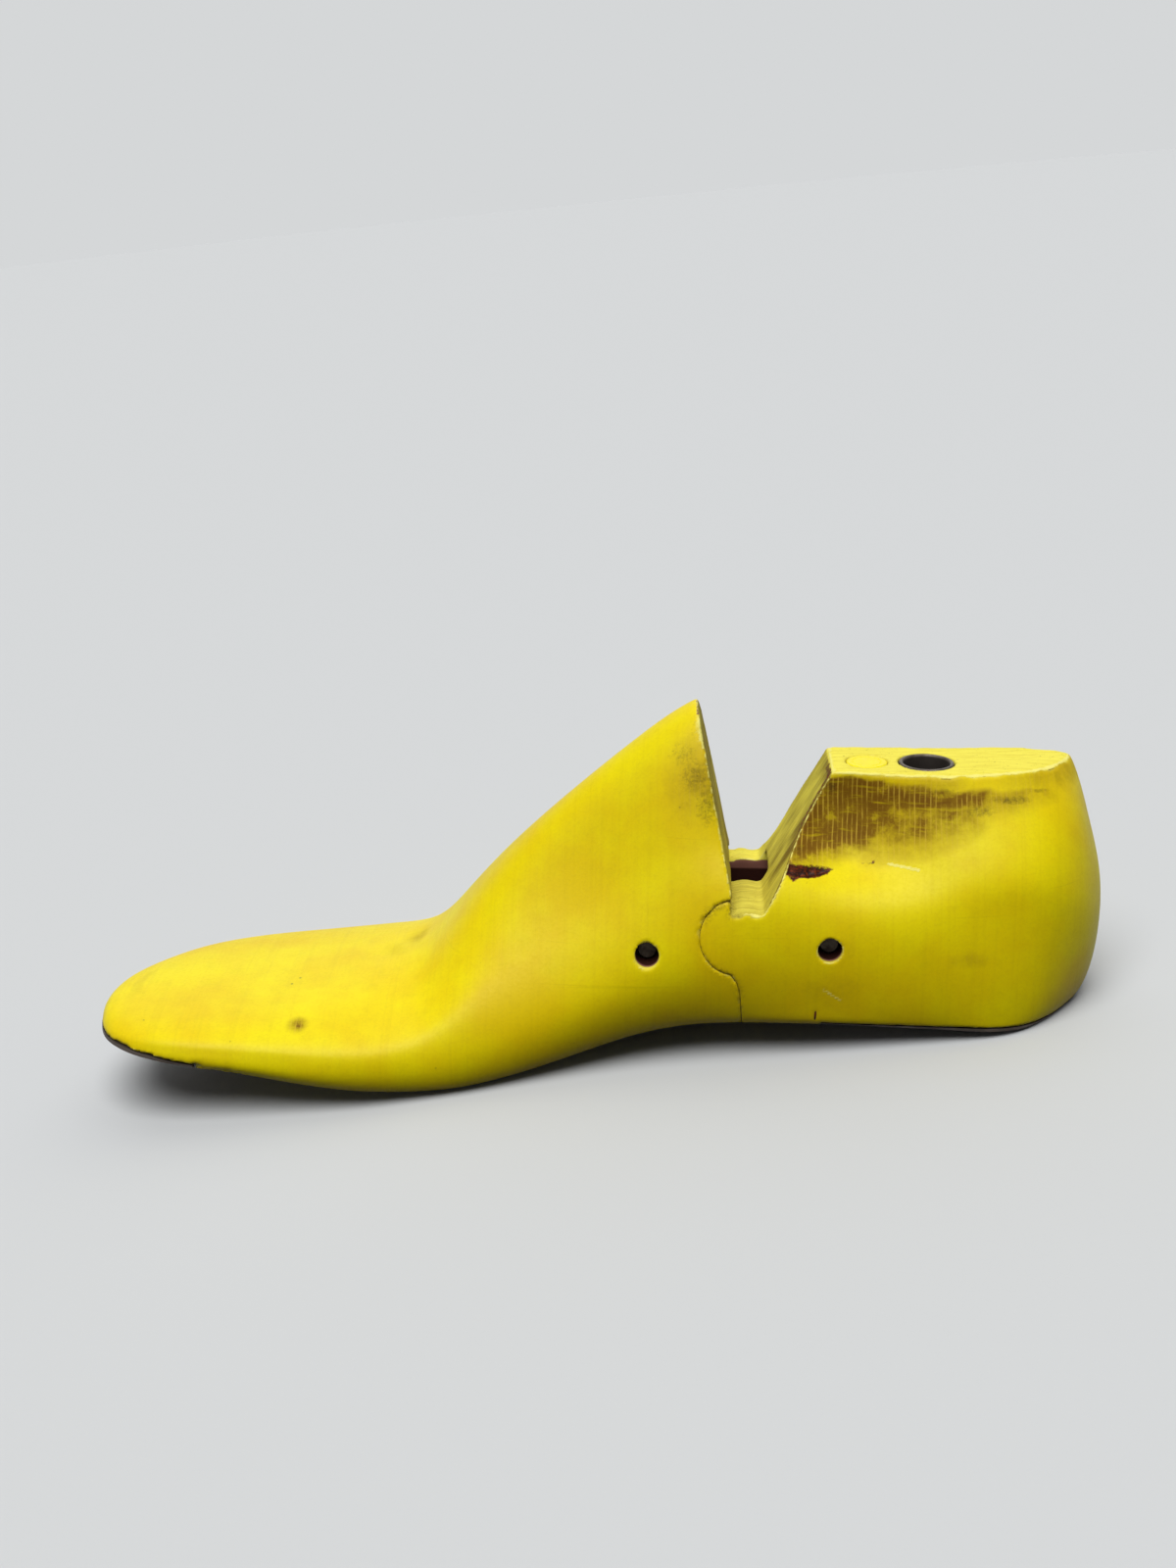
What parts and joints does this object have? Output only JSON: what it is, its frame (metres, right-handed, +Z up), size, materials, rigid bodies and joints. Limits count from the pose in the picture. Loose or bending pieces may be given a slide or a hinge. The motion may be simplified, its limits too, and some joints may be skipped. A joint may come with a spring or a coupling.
{
  "type": "shoe last",
  "caption": "Right-foot plastic shoe last in two halves that fold about a knuckle under a V cut, with a sprung draw link, steel plates at toe and heel and a steel jack thimble.",
  "frame": {"origin": "middle of the bounding box on the surface that the last stands on, resting on its ball and heel plate", "axes": "+X towards the heel along the last, -X towards the toe; -Y is the medial side of this right-foot last; +Z up, out of the cone's top"},
  "size_m": [0.2754, 0.0956, 0.0922],
  "materials": {
    "forepart_plastic": "yellow polyethylene, lathe turned, worn smooth",
    "heel_plastic": "yellow polyethylene, lathe turned, sawn faces cream, grimy on the cone",
    "plug_plastic": "lemon yellow plastic, planed flush",
    "thimble_steel": "drawn steel tube, dull",
    "plate_steel": "mild steel sheet, dark and rubbed brown",
    "pin_steel": "drawn steel rod",
    "hook_steel": "bent steel wire",
    "spring_steel": "oiled spring wire",
    "nail_steel": "steel nails, heads dressed level"
  },
  "bodies": {
    "forepart": {"forepart": "forepart_plastic", "front_pin": "pin_steel", "toe_plate": "plate_steel", "toe_nail_1": "nail_steel", "toe_nail_2": "nail_steel", "toe_nail_3": "nail_steel", "toe_nail_4": "nail_steel", "toe_nail_5": "nail_steel"},
    "heel": {"heel_part": "heel_plastic", "rear_pin": "pin_steel", "jack_thimble": "thimble_steel", "marker_plug": "plug_plastic", "heel_plate": "plate_steel", "heel_nail_1": "nail_steel", "heel_nail_2": "nail_steel", "heel_nail_3": "nail_steel", "heel_nail_4": "nail_steel", "heel_nail_5": "nail_steel", "heel_nail_6": "nail_steel", "heel_nail_7": "nail_steel"},
    "front_link": {"front_hook": "hook_steel", "link_spring": "spring_steel"},
    "rear_link": {"rear_hook": "hook_steel"}
  },
  "joints": [
    {"name": "heel_fold", "type": "hinge", "parent": "forepart", "child": "heel", "pos_m": [0.03788, 0.00071, 0.03587], "axis": [0, -1, 0], "range_deg": [0, 40]},
    {"name": "front_hook_swing", "type": "hinge", "parent": "forepart", "child": "front_link", "pos_m": [0.01366, 0.00071, 0.03294], "axis": [0, -1, 0], "range_deg": [0, 20]},
    {"name": "rear_hook_swing", "type": "hinge", "parent": "heel", "child": "rear_link", "pos_m": [0.06167, 0.00071, 0.03044], "axis": [0, -1, 0], "range_deg": [-20, 0]}
  ],
  "couplings": [
    {"joint": "front_hook_swing", "follows": "heel_fold", "ratio": 0.5},
    {"joint": "rear_hook_swing", "follows": "heel_fold", "ratio": -0.5}
  ]
}
